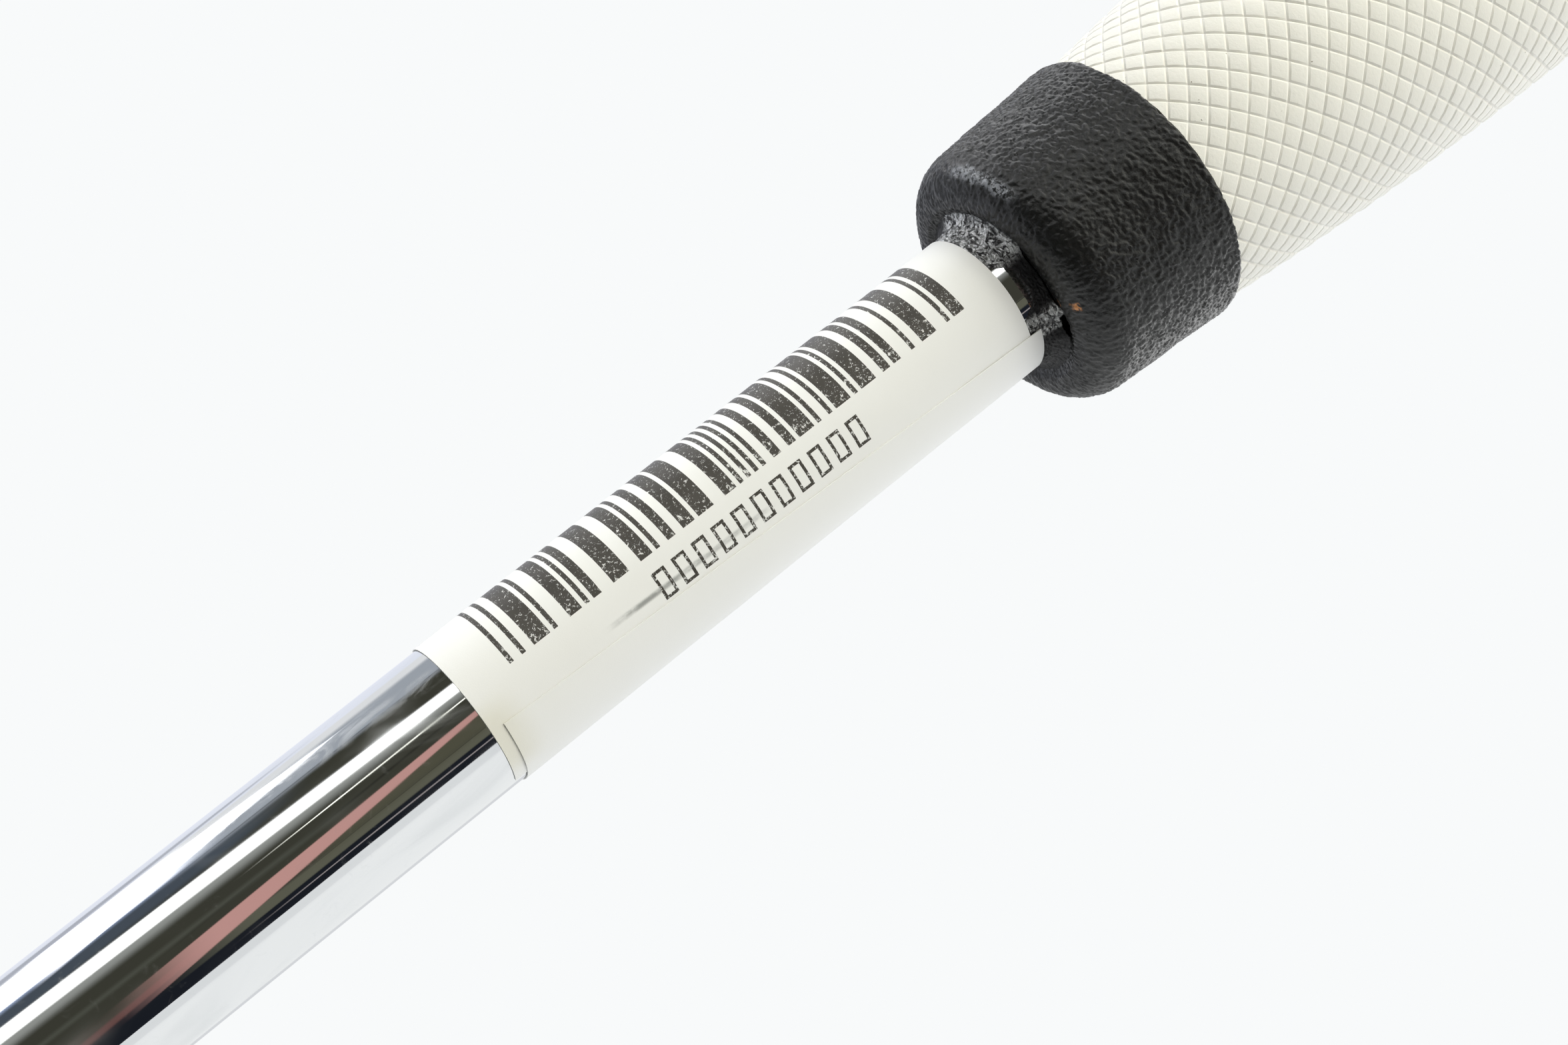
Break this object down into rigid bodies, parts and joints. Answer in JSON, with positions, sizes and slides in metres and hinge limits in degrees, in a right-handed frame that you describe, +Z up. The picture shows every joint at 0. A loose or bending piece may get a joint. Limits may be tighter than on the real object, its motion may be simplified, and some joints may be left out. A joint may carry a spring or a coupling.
{
  "type": "white cane",
  "caption": "Rigid long white cane: tapered chromed tube with white and red reflective sheeting, fat rubber grip in a diamond pattern with a dark collar, and a ball-bearing roller tip.",
  "frame": {"origin": "on the shaft's axis, where the middle of the hand holds the grip", "axes": "+Z up along the shaft from the tip to the end cap, +X along the strap hole"},
  "size_m": [0.0332, 0.0332, 1.22],
  "materials": {
    "chrome_tube": "bright chrome plate with fine handling haze",
    "label_paper": "coated thermal label paper with worn printed bars",
    "collar_rubber": "black, wrinkled like fine leather, satin",
    "adhesive": "smeared dark adhesive, glossy in places",
    "grip_rubber": "warm white rubber, fine diamond pattern",
    "core_foam": "closed-cell foam",
    "tape": "double-sided grip tape",
    "cap_plastic": "warm white moulded plastic, satin",
    "screw_steel": "zinc-plated steel",
    "plug_plastic": "black moulded plastic",
    "white_sheeting": "white reflective sheeting",
    "red_sheeting": "red reflective sheeting",
    "spindle_steel": "turned steel",
    "spring_steel": "dark spring steel",
    "bearing_steel": "ground bearing steel",
    "cage_nylon": "natural nylon",
    "roller_nylon": "white nylon, scuffed on its foot",
    "seal_rubber": "black rubber"
  },
  "bodies": {
    "cane": {"shaft_tube": "chrome_tube", "price_label": "label_paper", "white_reflective_wrap": "white_sheeting", "red_reflective_wrap": "red_sheeting", "grip_collar": "collar_rubber", "collar_adhesive": "adhesive", "grip_sleeve": "grip_rubber", "grip_core": "core_foam", "grip_tape": "tape", "grip_end_cap": "cap_plastic", "cap_screw": "screw_steel", "tube_plug": "plug_plastic", "tip_spindle": "spindle_steel", "spindle_cross_pin": "spring_steel", "spindle_circlip": "spring_steel", "inner_spacer": "spindle_steel", "lower_bearing_inner_ring": "bearing_steel", "upper_bearing_inner_ring": "bearing_steel"},
    "roller": {"tip_roller": "roller_nylon", "roller_snap_ring": "spring_steel", "roller_dust_cap": "seal_rubber", "outer_spacer": "spindle_steel", "lower_bearing_outer_ring": "bearing_steel", "upper_bearing_outer_ring": "bearing_steel"},
    "lower_ball_set": {"lower_bearing_balls": "bearing_steel", "lower_bearing_cage": "cage_nylon"},
    "upper_ball_set": {"upper_bearing_balls": "bearing_steel", "upper_bearing_cage": "cage_nylon"}
  },
  "joints": [
    {"name": "roller_spin", "type": "hinge", "parent": "cane", "child": "roller", "pos_m": [0, 0, -1.09], "axis": [0, 0, 1], "continuous": true},
    {"name": "lower_ball_orbit", "type": "hinge", "parent": "cane", "child": "lower_ball_set", "pos_m": [0, 0, -1.094], "axis": [0, 0, 1], "continuous": true},
    {"name": "upper_ball_orbit", "type": "hinge", "parent": "cane", "child": "upper_ball_set", "pos_m": [0, 0, -1.081], "axis": [0, 0, 1], "continuous": true}
  ],
  "couplings": [
    {"joint": "lower_ball_orbit", "follows": "roller_spin", "ratio": 0.64},
    {"joint": "upper_ball_orbit", "follows": "roller_spin", "ratio": 0.64}
  ]
}
